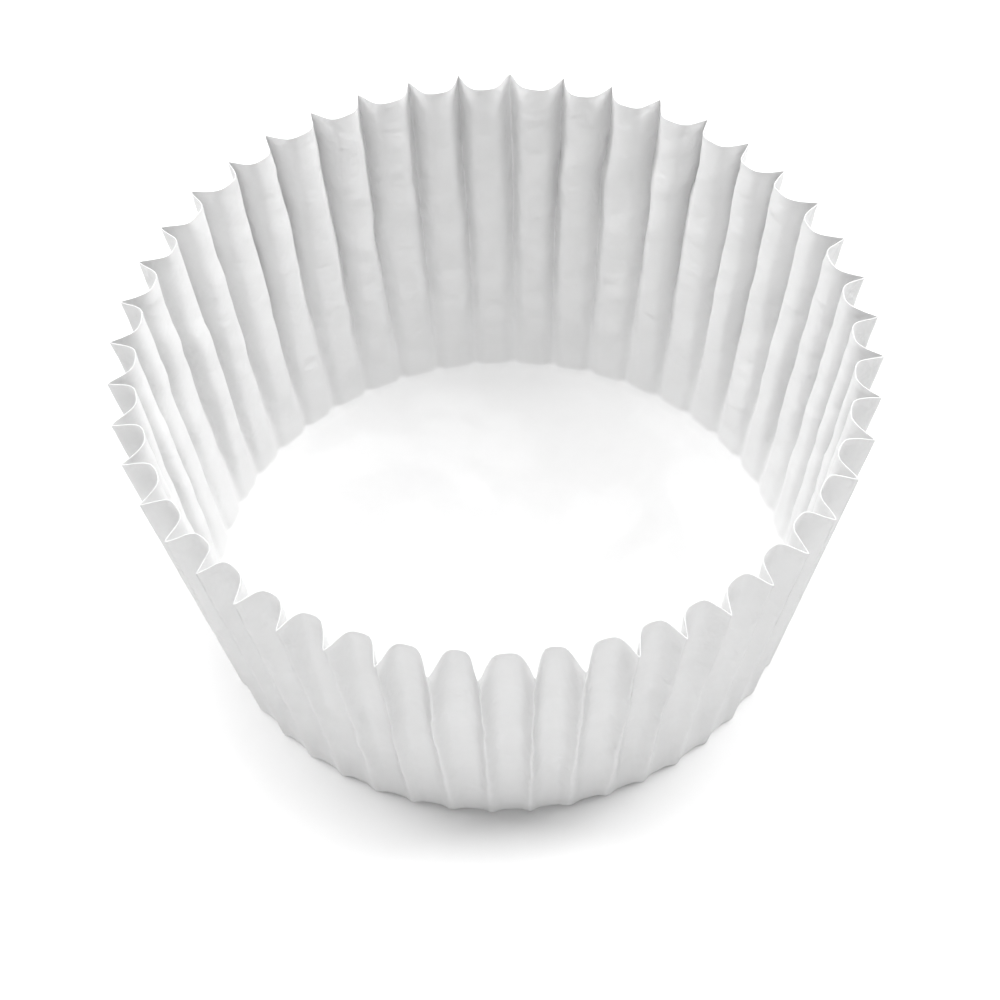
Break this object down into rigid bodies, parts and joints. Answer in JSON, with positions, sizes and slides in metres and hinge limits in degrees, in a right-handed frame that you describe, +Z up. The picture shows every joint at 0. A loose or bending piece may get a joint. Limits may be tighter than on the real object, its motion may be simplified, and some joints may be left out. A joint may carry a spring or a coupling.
{
  "type": "cupcake liner",
  "caption": "Round baking cup of thin white greaseproof paper: a flat plain base and a wall that leans outwards, pressed into narrow flutes up to a scalloped rim.",
  "frame": {"origin": "centre of the base, on the surface that the liner rests on", "axes": "+Z up along the cup's axis, from the base to the open rim; +X through an outer fold of the wall"},
  "size_m": [0.0678, 0.0678, 0.0314],
  "materials": {
    "paper": "matt white greaseproof paper, smooth, slightly translucent"
  },
  "bodies": {
    "root": {"liner": "paper"}
  },
  "joints": []
}
